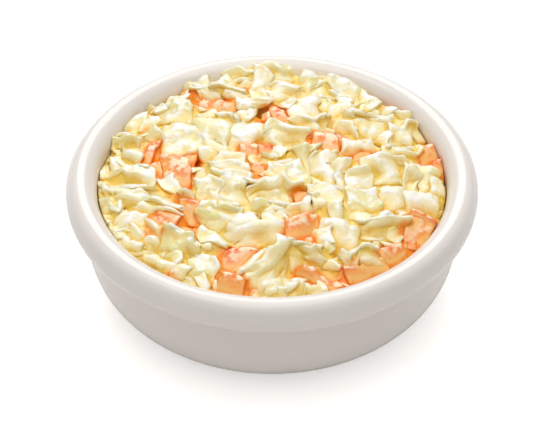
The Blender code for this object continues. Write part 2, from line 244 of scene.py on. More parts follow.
def wave_set(rng):
    """Waves in every direction, each with its heading, swing, pace and start."""
    waves = []
    for number in range(CRUMPLE_COUNT):
        length = CRUMPLE_LENGTH[0] * (CRUMPLE_LENGTH[1] / CRUMPLE_LENGTH[0]) ** (number / (CRUMPLE_COUNT - 1))
        heading, swing = np.array([[rng.gauss(0.0, 1.0) for _ in range(3)] for _ in range(2)])
        swing *= CRUMPLE_DEPTH * length / np.linalg.norm(swing)
        waves.append((heading / np.linalg.norm(heading), swing, math.tau / length, rng.uniform(0.0, math.tau)))
    return waves


CRUMPLES = wave_set(random.Random(SEED))


def seen_at(across, down, rise):
    """The point, so far over the dome, that the photo shows at a pixel."""
    forward = (camera_aim - camera_place) / np.linalg.norm(camera_aim - camera_place)
    right = np.cross(forward, (0.0, 0.0, 1.0))
    right /= np.linalg.norm(right)
    ray = forward * PIXELS_PER_MM * CAMERA_AWAY + right * (across - 0.5 * FRAME_PIXELS[0])
    ray += np.cross(right, forward) * (0.5 * FRAME_PIXELS[1] - down)
    height = RIM_Z + DOME_RISE
    for _ in range(40):
        point = camera_place + ray * (height - camera_place[2]) / ray[2]
        height = 0.5 * height + 0.5 * (float(dome_height(point[0], point[1])) + rise)
    return point


def finer(points, times):
    """Points of a grid with the middles between them added, again and again."""
    for _ in range(times):
        for axis in (0, 1):
            points = np.moveaxis(points, axis, 0)
            wide = np.empty((2 * len(points) - 1,) + points.shape[1:])
            wide[0::2] = points
            wide[1::2] = 0.5 * (points[1:] + points[:-1])
            points = np.moveaxis(wide, 0, axis)
    return points


def crumpled(points, softness):
    """Points shifted by slow uneven waves, so that no side of a soft piece stays straight or flat."""
    shift = np.zeros_like(points)
    for heading, swing, pace, start in CRUMPLES:
        shift += np.sin(pace * (points @ heading) + start)[..., None] * swing
    return points + softness * shift


OPEN_GAPS = [
    (227, 150, 4), (261, 111, 6), (325, 108, 7), (360, 156, 5), (391, 207, 6), (404, 194, 5), (202, 236, 6),
    (243, 245, 10), (250, 192, 7), (307, 198, 7), (136, 182, 6), (106, 162, 8), (101, 194, 5),
    (115, 236, 7), (150, 263, 7), (341, 254, 5), (380, 246, 6), (280, 112, 6), (198, 103, 6), (150, 121, 6),
    (441, 181, 4), (441, 209, 5), (440, 162, 5), (315, 135, 5), (183, 188, 7), (298, 112, 3), (372, 140, 5),
    (430, 135, 5), (375, 106, 5), (190, 160, 8), (265, 292, 9), (283, 287, 6), (215, 150, 3), (310, 258, 5),
    (232, 214, 4), (262, 215, 5), (125, 205, 3), (268, 146, 4), (342, 146, 5), (346, 183, 4), (143, 160, 5),
    (205, 268, 3), (190, 252, 4),
]


class Heap:
    """The heap's top as a grid of heights, on which pieces come to rest."""

    def __init__(self):
        self.count = int(2 * GRID_HALF / CELL) + 1
        axis = np.linspace(-GRID_HALF, GRID_HALF, self.count)
        self.x, self.y = np.meshgrid(axis, axis, indexing="ij")
        self.inside = np.hypot(self.x, self.y) < HEAP_R
        self.dome = dome_height(self.x, self.y)
        self.top = np.where(self.inside, self.dome - BED_DEPTH, 0.0)
        self.carrot = np.zeros_like(self.top)
        self.from_gap = np.full_like(self.top, GRID_HALF)
        for across, down, reach in OPEN_GAPS:
            x, y, _ = seen_at(across, down, GAP_HEIGHT)
            away = np.hypot(self.x - x, self.y - y) / (reach / PIXELS_PER_MM + 0.5)
            self.from_gap = np.minimum(self.from_gap, away)

    def cells(self, points):
        """Grid cells under points."""
        index = np.rint((points[..., :2] + GRID_HALF) / CELL).astype(int)
        index = np.clip(index, 0, self.count - 1)
        return index[..., 0], index[..., 1]

    def lowest_place(self, rng, margin, inmost=0.0, turn=(0.0, math.tau), tries=30):
        """The place furthest below the dome, of the ones tried outside an inmost share of the radius."""
        best = None
        for _ in range(tries):
            r = (HEAP_R - 0.8 * margin) * math.sqrt(inmost ** 2 + (1.0 - inmost ** 2) * rng.random())
            angle = rng.uniform(*turn)
            x, y = r * math.cos(angle), r * math.sin(angle)
            low_x, low_y = int((x - margin + GRID_HALF) / CELL), int((y - margin + GRID_HALF) / CELL)
            size = int(2 * margin / CELL)
            near = (slice(max(0, low_x), low_x + size), slice(max(0, low_y), low_y + size))
            room = float(np.mean((self.dome - self.top)[near]))
            if best is None or room > best[0]:
                best = (room, x, y)
        return best

    def shut_in(self, points):
        """How closely each point is shut in by what stands round it, from 0 in the open to 1."""
        total = np.zeros(len(points))
        for look in range(LOOKS):
            angle = math.tau * look / LOOKS
            steepest = np.zeros(len(points))
            for reach in LOOK_REACH:
                away = points + (reach * math.cos(angle), reach * math.sin(angle), 0.0)
                steepest = np.maximum(steepest, (self.around[self.cells(away)] - points[:, 2]) / reach)
            total += np.minimum(steepest, STEEPEST)
        return total / (LOOKS * STEEPEST)

    def note(self, surface, is_carrot):
        """Raise the grid to a piece's top surface."""
        points = finer(surface, 2).reshape(-1, 3)
        cells = self.cells(points)
        higher = points[:, 2] > self.top[cells]
        np.maximum.at(self.top, cells, points[:, 2])
        self.carrot[cells[0][higher], cells[1][higher]] = 1.0 if is_carrot else 0.0


def side_stops(length, edge, spacing):
    """Places along a side, closer together at its two rounded ends."""
    edge = min(edge / length, 0.2)
    inner = max(3, int(length * (1.0 - 2.0 * edge) / spacing))
    middle = np.linspace(edge, 1.0 - edge, inner + 1)
    return np.concatenate([[0.0, 0.3 * edge], middle, [1.0 - 0.3 * edge, 1.0]])


def patch(corners, thickness, kind, bows, relief, rng, fineness=1.0):
    """A piece from its four corners: its upper and lower surfaces, and how near each point is to a cut edge."""
    corners = np.asarray(corners, dtype=float)
    normal = np.cross(corners[2] - corners[0], corners[3] - corners[1])
    normal /= np.linalg.norm(normal)
    length = 0.5 * (np.linalg.norm(corners[1] - corners[0]) + np.linalg.norm(corners[2] - corners[3]))
    width = 0.5 * (np.linalg.norm(corners[3] - corners[0]) + np.linalg.norm(corners[2] - corners[1]))
    edge = min(kind["rounded"], 0.3 * min(length, width))
    s = side_stops(length, edge, kind["spacing"] * fineness)
    t = side_stops(width, edge, kind["spacing"] * fineness)
    a, b = np.meshgrid(2.0 * s - 1.0, 2.0 * t - 1.0, indexing="ij")
    reach = np.maximum(np.abs(a), np.abs(b))
    roundness = kind["roundness"] * rng.uniform(0.6, 1.3)
    around = (np.abs(a) ** roundness + np.abs(b) ** roundness) ** (1.0 / roundness)
    shrink = np.where(reach > 0.0, reach / np.maximum(around, 1e-6), 1.0)
    u, v = 0.5 + 0.5 * a * shrink, 0.5 + 0.5 * b * shrink

    def side(first, last, along, bow):
        straight = first + (last - first) * along[..., None]
        out = np.cross(last - first, normal)
        stops = [0.0] + sorted(rng.uniform(0.12, 0.88) for _ in range(rng.randint(2, 4))) + [1.0]
        ragged = np.interp(along, stops, [kind["ragged"] * rng.uniform(-1.0, 1.0) for _ in stops])
        return straight + out * (bow * 4.0 * along * (1.0 - along) + ragged)[..., None]

    low, high = side(corners[0], corners[1], u, bows[0]), side(corners[3], corners[2], u, -bows[2])
    left, right = side(corners[0], corners[3], v, -bows[3]), side(corners[1], corners[2], v, bows[1])
    u3, v3 = u[..., None], v[..., None]
    flat = (1 - v3) * low + v3 * high + (1 - u3) * left + u3 * right
    flat -= (1 - u3) * (1 - v3) * corners[0] + u3 * (1 - v3) * corners[1]
    flat -= u3 * v3 * corners[2] + (1 - u3) * v3 * corners[3]
    size = 0.5 * math.sqrt(length * width)
    lumps = np.zeros_like(u)
    for number in range(8):
        heading, pace = rng.uniform(0.0, math.tau), rng.uniform(*((0.6, 1.4) if number < 4 else (2.0, 4.0)))
        swell = pace * (u * length * math.cos(heading) + v * width * math.sin(heading)) + rng.uniform(0.0, 6.0)
        lumps += kind["lumps"] * np.sin(swell) / pace
    middle = flat + normal * (size * relief(2.0 * u - 1.0, 2.0 * v - 1.0) + lumps)[..., None]
    across, along = np.gradient(middle, axis=0), np.gradient(middle, axis=1)
    facing = np.cross(across, along)
    facing /= np.maximum(np.linalg.norm(facing, axis=2), 1e-9)[..., None]
    inward = np.minimum((1.0 - np.abs(a)) * 0.5 * length, (1.0 - np.abs(b)) * 0.5 * width)
    share = np.clip(inward / edge, 0.0, 1.0)
    full = kind["blunt"] + (1.0 - kind["blunt"]) * np.sqrt(1.0 - (1.0 - share) ** 2)
    half = (0.5 * thickness * full)[..., None] * facing
    return middle + half, middle - half, 1.0 - np.clip(inward / CUT_BAND, 0.0, 1.0)


def grid_faces(rows, columns, start, flip):
    """Faces between the points of a grid."""
    index = start + np.arange(rows * columns).reshape(rows, columns)
    quads = np.stack([index[:-1, :-1], index[1:, :-1], index[1:, 1:], index[:-1, 1:]], axis=-1).reshape(-1, 4)
    return quads[:, ::-1] if flip else quads


def border(rows, columns):
    """The outer points of a grid, in order round it."""
    index = np.arange(rows * columns).reshape(rows, columns)
    return np.concatenate([index[:, 0], index[-1, 1:], index[-2::-1, -1], index[0, -2:0:-1]])


class Batch:
    """Points and faces of all pieces of one kind, which end up as one mesh."""

    def __init__(self):
        self.verts, self.faces, self.edge, self.tone, self.grain = [], [], [], [], []
        self.count = 0

    def add(self, top, bottom, edge, tone):
        rows, columns = top.shape[:2]
        each = rows * columns
        ring = border(rows, columns)
        after = np.roll(ring, -1)
        walls = np.stack([ring, each + ring, each + after, after], axis=-1)
        faces = [grid_faces(rows, columns, 0, False), grid_faces(rows, columns, each, True), walls]
        self.faces += (np.vstack(faces) + self.count).tolist()
        self.count += 2 * each
        self.verts += [top.reshape(-1, 3), bottom.reshape(-1, 3)]
        self.edge += [edge.ravel(), np.ones(each)]
        self.tone.append(np.full(2 * each, tone))
        sheet = np.stack(np.meshgrid(np.arange(rows), np.arange(columns), indexing="ij"), axis=-1).reshape(-1, 2)
        for side in (0.0, 5.0):
            self.grain.append(np.column_stack([sheet, np.full(each, side + 60.0 * tone)]))

    def build(self, name, heap):
        verts = np.vstack(self.verts)
        cells = heap.cells(verts)
        # shut and warm carry the painted crevice shade: darker and yellow to orange where neighbours shut a point in.
        layers = [("edge", "FLOAT", np.concatenate(self.edge)), ("tone", "FLOAT", np.concatenate(self.tone)),
                  ("shut", "FLOAT", heap.shut_in(verts)), ("warm", "FLOAT", heap.warmth[cells]),
                  ("grain", "FLOAT_VECTOR", np.vstack(self.grain))]
        return add_mesh(name, verts, self.faces, layers)


def keep_in_bowl(points):
    """Draw points in so that they clear the bowl's wall and the rolled rim."""
    reach = np.hypot(points[..., 0], points[..., 1])
    above = np.clip((points[..., 2] - RIM_Z) / RIM_HALF_HEIGHT, 0.0, 1.0)
    limit = RIM_CREST_R - (RIM_CREST_R - RIM_INNER_R) * np.sqrt(1.0 - 0.6 * above ** 2) - 0.3
    scale = np.minimum(1.0, limit / np.maximum(reach, 0.001))
    return points * np.stack([scale, scale, np.ones_like(scale)], axis=-1)


def leaf_relief(rng, fold):
    """The shape of a leaf piece: a crease along it, a cup, a twist, a ruffle at its edges and fanned veins."""
    crease = rng.uniform(-0.5, 0.5)
    veins = [rng.uniform(-0.7, 0.7) for _ in range(3)]
    cup, twist = rng.uniform(-0.16, 0.24), rng.uniform(-0.22, 0.22)
    ruffle, phase, pace = rng.uniform(0.04, 0.12), rng.uniform(0.0, 6.0), rng.uniform(2.6, 4.6)

    def relief(a, b):
        ridge = -fold * (np.sqrt((a - crease * b) ** 2 + 0.01) - 0.4)
        fan = 2.0 * b / (2.6 + a)
        veined = VEIN_RISE * sum(np.exp(-((fan - vein) / VEIN_WIDTH) ** 2) for vein in veins)
        wave = ruffle * np.sin(pace * a + phase) * (0.3 + 0.7 * np.abs(b))
        return ridge + cup * b * b + twist * a * b + wave + veined

    return relief


def rib_relief(rng, fold):
    """The shape of a rib piece: a thick slab, bowed over its width."""
    cup, twist = rng.uniform(0.05, 0.22), rng.uniform(-0.08, 0.08)
    return lambda a, b: -(cup + fold) * b * b + twist * a * b - 0.04 * a * a


def chopped_corners(length, width, wedge, rng):
    """Four corners of a roughly chopped piece: a rectangle out of square, or narrower at one end."""
    corners = []
    for across, along in ((-1, -1), (1, -1), (1, 1), (-1, 1)):
        narrow = 1.0 - wedge if across > 0 else 1.0
        corners.append((0.5 * length * across * rng.uniform(0.78, 1.12),
                        0.5 * width * along * narrow * rng.uniform(0.75, 1.15), 0.0))
    return np.array(corners)


def turned_about(corners, roll, pitch, turn, slope):
    """Tilt a piece about its own length and width, turn it and lean it with the slope below."""
    x, y, z = corners.T
    y, z = y * math.cos(roll) - z * math.sin(roll), y * math.sin(roll) + z * math.cos(roll)
    x, z = x * math.cos(pitch) + z * math.sin(pitch), z * math.cos(pitch) - x * math.sin(pitch)
    x, y = x * math.cos(turn) - y * math.sin(turn), x * math.sin(turn) + y * math.cos(turn)
    return np.column_stack([x, y, z + slope[0] * x + slope[1] * y])


def ground_slope(heap, x, y, reach):
    """Slope of the heap's top near a place."""
    samples = [(x + dx, y + dy) for dx in (-reach, 0, reach) for dy in (-reach, 0, reach)]
    points = np.array([(px, py, 0.0) for px, py in samples])
    heights = heap.top[heap.cells(points)]
    matrix = np.column_stack([points[:, :2], np.ones(len(points))])
    return np.linalg.lstsq(matrix, heights, rcond=None)[0][:2]


def lay_fillers(heap, batch, kind, count, sizes, depth, tilt, rng, inmost=0.0, turn=(0.0, math.tau)):
    """Lay pieces one by one where the heap is furthest below its dome, sunk a little into those below."""
    for _ in range(count):
        length, width, thickness = (rng.uniform(*size) for size in sizes)
        _, x, y = heap.lowest_place(rng, 0.4 * length, inmost, turn)
        if depth < TOP_DEPTH and heap.from_gap[heap.cells(np.array([x, y, 0.0]))] < GAP_REACH:
            continue
        slope = np.clip(ground_slope(heap, x, y, 0.3 * length), -0.7, 0.7) * 0.7
        roll, pitch = rng.gauss(0.0, tilt), rng.gauss(0.0, tilt)
        corners = turned_about(chopped_corners(length, width, rng.uniform(0.0, 0.5), rng), roll, pitch,
                               rng.uniform(0.0, math.tau), slope)
        corners[:, :2] += (x, y)
        bows = [rng.uniform(-0.08, 0.12) for _ in range(4)]
        relief = kind["relief"](rng, rng.uniform(0.0, kind["fold"]))
        top, bottom, edge = patch(corners, thickness, kind, bows, relief, rng, 1.2)
        inner = finer(bottom, 1)[1:-1, 1:-1]
        lift = float(np.percentile(heap.top[heap.cells(inner)] - inner[..., 2], 65)) - 0.25 * thickness
        middle = 0.5 * (top + bottom)
        lift = min(lift, float(np.mean(heap.dome[heap.cells(middle)] - middle[..., 2])) - depth)
        shift = np.array([0.0, 0.0, lift])
        top, bottom = [keep_in_bowl(crumpled(side + shift, kind["softness"])) for side in (top, bottom)]
        batch.add(top, bottom, edge, rng.random())
        heap.note(top, kind["carrot"])


def lay_behind(heap, batch, kind, far_left, far_right):
    """Lay a piece that leans down and away from a shown piece's far side, where the photo doesn't look."""
    rng = random.Random(f"{far_left[0]:.1f} {far_left[1]:.1f}")
    along = (far_right - far_left) * (1.0, 1.0, 0.0)
    back = np.array([-along[1], along[0], 0.0]) / np.linalg.norm(along)
    corners = np.array([far_left, far_right, far_right, far_left])
    corners[:, 2] -= BEHIND_SUNK
    for corner in (2, 3):
        reach = rng.uniform(*BEHIND_REACH)
        corners[corner] += back * reach + along * rng.uniform(-0.15, 0.15)
        corners[corner, 2] -= reach * rng.uniform(*BEHIND_STEEP)
    corners[:2] += along * rng.uniform(-0.1, 0.1)
    if np.hypot(*corners[2:, :2].mean(axis=0)) > HEAP_R:
        return
    bows = [rng.uniform(-0.08, 0.12) for _ in range(4)]
    relief = kind["relief"](rng, rng.uniform(0.0, kind["fold"]))
    top, bottom, edge = patch(corners, rng.uniform(*BEHIND_THICK), kind, bows, relief, rng)
    top, bottom = [keep_in_bowl(crumpled(side, kind["softness"])) for side in (top, bottom)]
    batch.add(top, bottom, edge, rng.random())
    heap.note(top, kind["carrot"])


def lay_shown(heap, batch, kind, values, rng):
    """Lay a piece that the photo shows: each corner is a pixel and a height over the dome, near left first.

    Its near side goes on down under the piece in front, and its ends a little under those beside it.
    """
    thickness, tone, fold, *seen = values
    thickness *= kind["dressed"]
    relief_height = [NEAR_STEEP * rise - NEAR_DIVE for _, _, rise in seen[:2]] + [FAR_STEEP * rise for _, _, rise in seen[2:]]
    corners = np.array([seen_at(across, down, rise) for (across, down, _), rise in zip(seen, relief_height)])
    corners[:, 2] -= 0.5 * thickness
    downhill = 0.5 * (corners[0] + corners[1] - corners[2] - corners[3])
    corners[:2] += downhill / np.linalg.norm(downhill) * UNDER_FRONT
    along = 0.5 * (corners[1] + corners[2] - corners[0] - corners[3])
    along *= UNDER_BESIDE / np.linalg.norm(along)
    corners += np.array([-1.0, 1.0, 1.0, -1.0])[:, None] * along
    bows = [rng.uniform(-0.07, 0.09) for _ in range(4)]
    top, bottom, edge = patch(corners, thickness, kind, bows, kind["relief"](rng, fold), rng, 0.55)
    top, bottom = [keep_in_bowl(crumpled(side, kind["softness"])) for side in (top, bottom)]
    batch.add(top, bottom, edge, tone)
    heap.note(top, kind["carrot"])
    if not kind["carrot"]:
        lay_behind(heap, batch, kind, corners[3], corners[2])


NEAR_STEEP = 1.2
NEAR_DIVE = 0.8
FAR_STEEP = 1.15
BEHIND_SUNK = 0.9
BEHIND_REACH = (2.0, 4.5)
BEHIND_STEEP = (1.0, 1.4)
BEHIND_THICK = (1.2, 1.7)
UNDER_FRONT = 2.0
UNDER_BESIDE = 0.7
LEAF = {"relief": leaf_relief, "fold": 0.4, "roundness": 26.0, "ragged": 0.15, "blunt": 0.5, "rounded": 0.6,
        "lumps": 0.12, "dressed": 0.85, "spacing": 1.2, "softness": 1.0, "carrot": False}
RIB = {"relief": rib_relief, "fold": 0.15, "roundness": 8.0, "ragged": 0.08, "blunt": 0.3, "rounded": 1.3,
       "lumps": 0.14, "dressed": 1.0, "spacing": 1.2, "softness": 0.7, "carrot": False}
SHOWN_LEAVES = [
    (1.3, 0.1, 0.10, (182, 90, -0.5), (216, 88, -0.5), (204, 72, 1.5), (183, 80, 0.5)),
    (1.2, 0, 0.10, (203, 95, 0.2), (243, 98, 0.2), (238, 88, 1), (190, 88, 0.8)),
    (1.4, 0.95, 0.10, (163, 119, -0.8), (192, 118, -0.8), (186, 101, 0.3), (162, 103, 0.3)),
    (1.4, 0.1, 0.05, (150, 112, -0.5), (163, 108, 0), (186, 95, 0.4), (148, 102, 0.4)),
    (1.4, 0.45, 0.15, (130, 133, -0.8), (148, 129, -0.8), (142, 112, 0.6), (129, 119, 0.3)),
    (1.4, 1, 0.12, (112, 161, -1.6), (141, 156, -1), (141, 136, 0.4), (110, 131, 0.5)),
    (1.4, 0.05, 0.10, (106, 178, -0.8), (158, 180, -0.6), (150, 166, 0.6), (117, 160, 0.6)),
    (1.4, 0.2, 0.10, (108, 205, -0.9), (152, 204, -0.9), (146, 185, 0.6), (97, 183, 0.5)),
    (1.4, 0.1, 0.12, (141, 226, -1.2), (164, 215, -0.6), (184, 206, 0.5), (148, 192, 0.2)),
    (1.3, 0.5, 0.05, (105, 222, -1.2), (117, 214, -1.2), (110, 199, -0.4), (99, 197, -0.4)),
    (1.2, 0.4, 0.12, (228, 82, -0.5), (250, 80, -0.5), (257, 68, 1.1), (229, 67, 1.1)),
    (1.2, 0.1, 0.10, (226, 91, -0.7), (248, 91, -0.7), (258, 75, 0.5), (230, 79, 0.5)),
    (1.2, 0.1, 0.05, (258, 95, -0.8), (270, 95, -0.8), (270, 68, 1.4), (257, 65, 1.6)),
    (1.2, 0.5, 0.25, (268, 92, -1), (300, 82, -0.6), (288, 66, 1.6), (258, 64, 1.8)),
    (1.4, 0, 0.12, (240, 118, -0.2), (254, 108, -0.1), (273, 95, 0.8), (243, 95, 0.6)),
    (1.2, 0, 0.10, (272, 99, -0.8), (291, 95, -0.8), (300, 86, 0.4), (272, 79, 0.4)),
    (1.2, 0.95, 0.30, (302, 91, -0.6), (318, 93, -0.6), (325, 73, 1.3), (303, 73, 1.2)),
    (1.3, 0.5, 0.15, (318, 98, -0.8), (334, 94, -0.6), (339, 73, 1), (326, 72, 1)),
    (1.4, 1, 0.05, (316, 115, -1.3), (335, 118, -1.3), (328, 97, -0.3), (316, 93, -0.3)),
    (1.4, 0.6, 0.12, (268, 148, -1.2), (303, 150, -1.2), (306, 124, 0.8), (266, 119, 0.8)),
    (1.3, 0, 0.08, (300, 134, -0.2), (330, 127, -0.2), (325, 115, 0.8), (294, 117, 0.8)),
    (1.4, 0.1, 0.10, (232, 152, -1.1), (263, 141, -0.9), (259, 121, 0.5), (229, 121, 0.5)),
    (1.3, 0, 0.08, (226, 127, -0.3), (246, 124, -0.3), (240, 117, 0.5), (214, 112, 0.5)),
    (1.5, 0.5, 0.10, (338, 105, -1), (353, 105, -1), (353, 84, 0.8), (332, 79, 0.8)),
    (1.3, 0.3, 0.08, (397, 122, -0.6), (426, 122, -0.6), (416, 111, 0.5), (397, 111, 0.5)),
    (1.4, 0, 0.05, (346, 118, 0.1), (393, 123, 0.1), (388, 112, 1), (348, 111, 1)),
    (1.3, 0.1, 0.12, (392, 139, -0.6), (421, 134, -0.6), (416, 122, 0.6), (393, 122, 0.6)),
    (1.3, 0, 0.10, (180, 199, -0.4), (193, 201, -0.4), (190, 189, 0.5), (177, 189, 0.5)),
    (1.5, 0.4, 0.05, (191, 204, -1.3), (222, 206, -1.1), (221, 178, 0.6), (197, 176, 0.5)),
    (1.5, 0.2, 0.10, (222, 206, -1.1), (250, 204, -1.3), (243, 177, 0.7), (213, 171, 0.7)),
    (1.3, 0, 0.12, (213, 179, 0.1), (246, 179, 0.1), (245, 164, 1.1), (212, 161, 0.9)),
    (1.3, 0.3, 0.10, (210, 165, -1), (243, 167, -1), (240, 152, 0), (222, 149, 0)),
    (1.4, 0.4, 0.10, (262, 179, -0.7), (297, 179, -0.7), (291, 158, 0.8), (272, 160, 0.7)),
    (1.3, 0.95, 0.10, (290, 178, -0.3), (304, 179, -0.3), (299, 156, 0.9), (288, 160, 0.6)),
    (1.4, 0.8, 0.05, (257, 219, -2.2), (266, 220, -2.2), (286, 203, -1), (256, 201, -1)),
    (1.5, 0.4, 0.15, (253, 205, -1.5), (287, 204, -1.3), (301, 180, 0.9), (247, 178, 0.9)),
    (1.5, 0.6, 0.12, (303, 179, -1.1), (323, 180, -1.1), (312, 142, 1.1), (298, 144, 1.1)),
    (1.4, 0.1, 0.10, (316, 176, -0.9), (336, 181, -0.9), (335, 153, 0.5), (315, 153, 0.5)),
    (1.3, 0, 0.05, (317, 211, -0.5), (326, 207, -0.5), (315, 192, 0.4), (308, 191, 0.4)),
    (1.4, 0.1, 0.08, (316, 201, -1.1), (337, 207, -1.1), (337, 183, 0.2), (313, 183, 0.2)),
    (1.4, 0.3, 0.10, (265, 238, -1.3), (289, 233, -1.3), (289, 209, 0.3), (271, 205, 0.4)),
    (1.3, 0.5, 0.10, (214, 215, -0.5), (232, 214, -0.5), (235, 203, 0.5), (211, 198, 0.5)),
    (1.4, 0.9, 0.05, (195, 223, -1.3), (229, 237, -1.6), (235, 206, 0.9), (207, 200, 1.3)),
    (1.4, 0.9, 0.05, (151, 250, -1.1), (191, 258, -1.6), (198, 243, 0.5), (171, 221, 1.3)),
    (1.7, 0.9, 0, (189, 282, -1.3), (212, 285, -1.3), (217, 255, 0.2), (194, 254, 0.2)),
    (1.3, 0.1, 0.10, (288, 263, -1), (325, 264, -1.2), (319, 246, 0.4), (286, 239, 1.2)),
    (1.3, 0.2, 0.30, (246, 294, -1.6), (282, 285, -1.3), (286, 238, 1.7), (235, 269, 0.5)),
    (1.2, 0, 0.05, (338, 223, 0), (347, 223, 0), (338, 202, 1.1), (333, 202, 1.1)),
    (1.4, 0.6, 0.10, (349, 213, -1.2), (379, 211, -1.2), (373, 188, 0.3), (347, 189, 0.3)),
    (1.5, 0.1, 0.20, (361, 237, -1.3), (401, 233, -1.3), (406, 213, 0.8), (361, 214, 0.7)),
    (2, 0, 0.05, (338, 269, -0.1), (380, 258, 0), (376, 243, 1.1), (345, 251, 0.8)),
    (1.4, 0.35, 0.05, (369, 180, -1.1), (401, 180, -1.1), (403, 158, 0.5), (366, 158, 0.5)),
    (1.4, 0.7, 0.10, (388, 161, -0.9), (417, 158, -0.9), (419, 145, 0.5), (382, 145, 0.5)),
    (1.3, 0.15, 0.08, (403, 188, -0.9), (419, 186, -0.9), (418, 159, 0.6), (401, 162, 0.6)),
    (1.4, 0.6, 0.10, (420, 192, -1.2), (435, 190, -1.2), (433, 165, 0), (418, 167, 0)),
    (1.3, 0, 0.08, (352, 189, -0.6), (368, 187, -0.6), (367, 164, 0.6), (351, 166, 0.6)),
    (1.4, 0.8, 0, (340, 207, -1.7), (348, 205, -1.7), (348, 172, -0.9), (340, 172, -0.9)),
    (1.3, 0.05, 0.08, (335, 184, -0.9), (351, 186, -0.9), (351, 157, 0.5), (336, 159, 0.5)),
    (1.3, 0.1, 0.10, (338, 152, -0.6), (372, 150, -0.6), (368, 140, 0.3), (342, 139, 0.3)),
]
SHOWN_RIBS = [
    (1.6, 0.2, 0, (124, 156, -0.2), (139, 160, -0.2), (141, 152, 0.5), (126, 149, 0.5)),
    (2.6, 0.9, 0, (165, 153, -0.9), (201, 150, -0.6), (199, 121, 0.6), (162, 121, 0.6)),
    (3, 0.7, 0, (200, 147, -0.6), (226, 151, -0.6), (229, 121, 1), (192, 115, 1)),
    (2.4, 0.2, 0, (117, 233, -1.3), (143, 227, -1.1), (147, 208, 0.4), (117, 209, 0.3)),
    (2.6, 0.1, 0, (289, 116, -0.7), (315, 116, -0.7), (315, 93, 0.8), (290, 96, 0.6)),
    (2.4, 0, 0, (357, 99, -0.4), (372, 107, -0.4), (380, 98, 0.7), (359, 84, 0.8)),
    (2, 0, 0, (330, 112, -0.2), (352, 111, -0.2), (353, 104, 0.5), (333, 103, 0.5)),
    (2.2, 0.8, 0, (348, 137, -1.3), (386, 136, -1.3), (384, 119, 0.4), (346, 117, 0.4)),
    (1.8, 0, 0, (286, 210, -0.4), (303, 209, -0.4), (303, 198, 0.3), (289, 199, 0.3)),
    (2.4, 0.15, 0, (231, 244, -1.6), (267, 241, -1.4), (286, 221, 0.1), (229, 220, 0.2)),
    (2.2, 0, 0, (232, 233, -0.7), (263, 227, -0.7), (256, 207, 0.8), (237, 207, 0.8)),
    (1.4, 0.1, 0, (199, 251, -1.1), (210, 250, -1.1), (209, 241, -0.5), (201, 242, -0.5)),
    (2, 0.5, 0, (142, 259, -1), (182, 280, -1), (190, 265, 0.4), (155, 251, 0.6)),
    (2, 0.3, 0, (126, 248, -1.4), (140, 257, -1.4), (142, 240, 0), (123, 232, 0)),
    (1.8, 0.1, 0, (145, 248, -1), (158, 247, -1), (159, 235, 0), (147, 234, 0)),
    (1.8, 0.2, 0, (283, 292, -1.1), (304, 293, -1.1), (304, 276, 0), (294, 276, 0)),
    (3, 0.1, 0, (321, 241, -1.3), (354, 252, -1.3), (357, 221, 0.9), (321, 213, 0.9)),
    (3, 0.05, 0, (376, 203, -0.9), (402, 204, -0.9), (403, 180, 0.8), (380, 184, 0.7)),
    (2.4, 0.1, 0, (408, 212, -1.1), (437, 215, -1.1), (437, 192, 0.3), (406, 190, 0.4)),
    (1.6, 0, 0, (433, 193, -0.5), (445, 193, -0.5), (441, 177, 0.3), (431, 177, 0.3)),
]
rng = random.Random(SEED)
heap = Heap()
leaves, ribs, carrots = Batch(), Batch(), Batch()
lay_fillers(heap, leaves, LEAF, LEAF_FILLERS, [(9, 15), (7, 11), (1.2, 2.0)], 5.4, 0.10, rng)
lay_fillers(heap, ribs, RIB, RIB_FILLERS, [(7, 11), (6, 8), (2.0, 3.4)], 5.8, 0.10, rng)
lay_fillers(heap, leaves, LEAF, EDGE_LEAVES, [(5, 9), (4, 7), (1.2, 2.0)], 3.6, 0.25, random.Random(SEED + 1), 0.86)
lay_fillers(heap, ribs, RIB, EDGE_RIBS, [(5, 8), (4, 6), (1.8, 2.6)], 3.8, 0.15, random.Random(SEED + 2), 0.86)
for values in SHOWN_LEAVES:
    lay_shown(heap, leaves, LEAF, values, rng)
for values in SHOWN_RIBS:
    lay_shown(heap, ribs, RIB, values, rng)
lay_fillers(heap, leaves, LEAF, FAR_LEAVES, [(5, 8), (4, 6), (1.2, 1.8)], 1.7, 0.25, random.Random(SEED + 3), 0.9, FAR_TURN)
